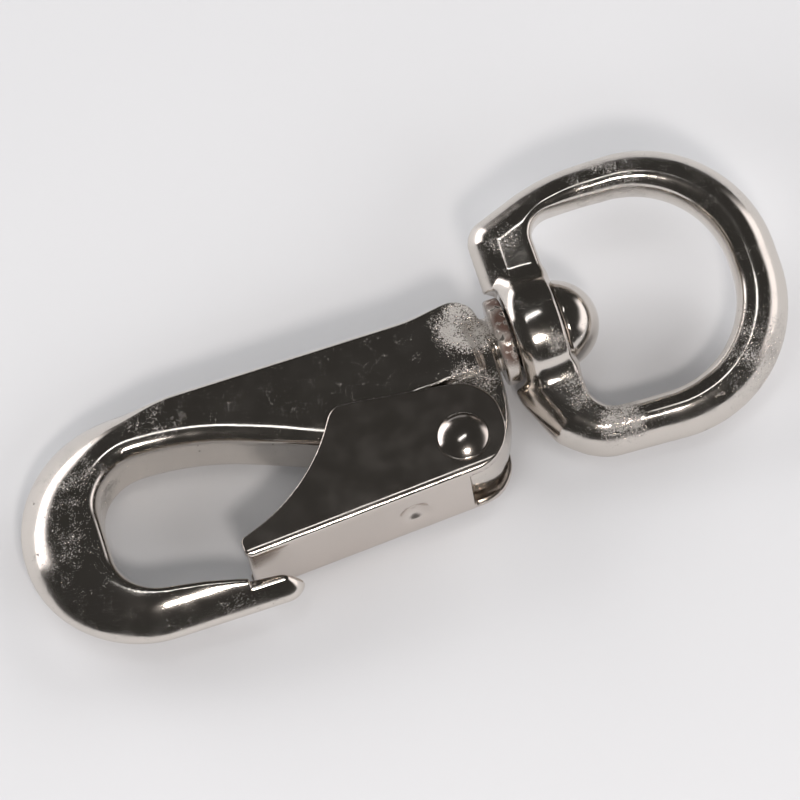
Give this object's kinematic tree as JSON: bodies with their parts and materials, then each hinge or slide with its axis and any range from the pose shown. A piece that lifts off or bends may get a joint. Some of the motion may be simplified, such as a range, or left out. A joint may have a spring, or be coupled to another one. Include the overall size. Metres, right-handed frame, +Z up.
{
  "type": "swivel snap hook",
  "caption": "Cast snap hook with a riveted, spring-loaded sheet gate that opens inwards, and a D-shaped ring that swivels on a headed shank.",
  "frame": {"origin": "centre of the round seat inside the bow, at half the body's thickness", "axes": "+X from the bow towards the ring, along the swivel's axis; +Y towards the solid spine, away from the gate; +Z up, square to the body's flat faces"},
  "size_m": [0.104, 0.0439, 0.015],
  "materials": {
    "body_plate": "polished nickel plate over a casting",
    "ring_plate": "polished nickel plate over a casting",
    "gate_plate": "nickel plate over pressed sheet",
    "rivet_plate": "nickel plated",
    "spring_wire": "drawn spring wire"
  },
  "bodies": {
    "hook": {"hook_body": "body_plate", "gate_rivet": "rivet_plate", "gate_spring": "spring_wire"},
    "gate": {"gate": "gate_plate"},
    "ring": {"swivel_ring": "ring_plate"}
  },
  "joints": [
    {"name": "gate_pivot", "type": "hinge", "parent": "hook", "child": "gate", "pos_m": [0.0371, -0.003, 0], "axis": [0, 0, -1], "range_deg": [0, 24], "stiffness_Nm_per_rad": 0.12, "springref_deg": -20.05, "deforming": ["gate_spring"]},
    {"name": "swivel", "type": "hinge", "parent": "hook", "child": "ring", "pos_m": [0.0486, 0.0109, 0], "axis": [1, 0, 0], "continuous": true}
  ]
}
